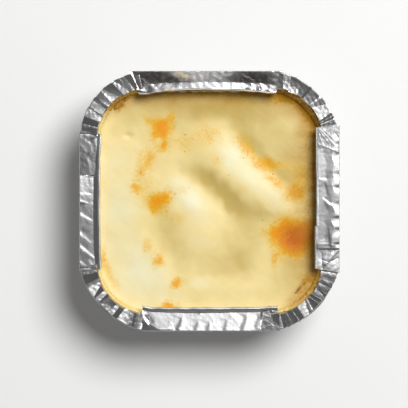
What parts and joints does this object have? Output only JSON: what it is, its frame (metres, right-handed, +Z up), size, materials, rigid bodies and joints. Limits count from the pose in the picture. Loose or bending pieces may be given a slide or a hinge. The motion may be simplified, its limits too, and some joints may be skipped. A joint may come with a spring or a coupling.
{
  "type": "foil tray meal",
  "caption": "Single-portion baked dish with a smooth pale sauce top, solid to its base, in a square foil tray whose crimped rim is folded inwards.",
  "frame": {"origin": "middle of the tray's plan, on the surface that its base rests on", "axes": "+Z up; +X and +Y along the square tray's sides, +Y towards the side that lies at the top when the dish is looked down on"},
  "size_m": [0.12, 0.12, 0.035],
  "materials": {
    "foil": "bright crinkled aluminium foil",
    "baked_sauce": "smooth semi-gloss baked white sauce with orange stains"
  },
  "bodies": {
    "root": {"foil_tray": "foil", "baked_sauce_dish": "baked_sauce"}
  },
  "joints": []
}
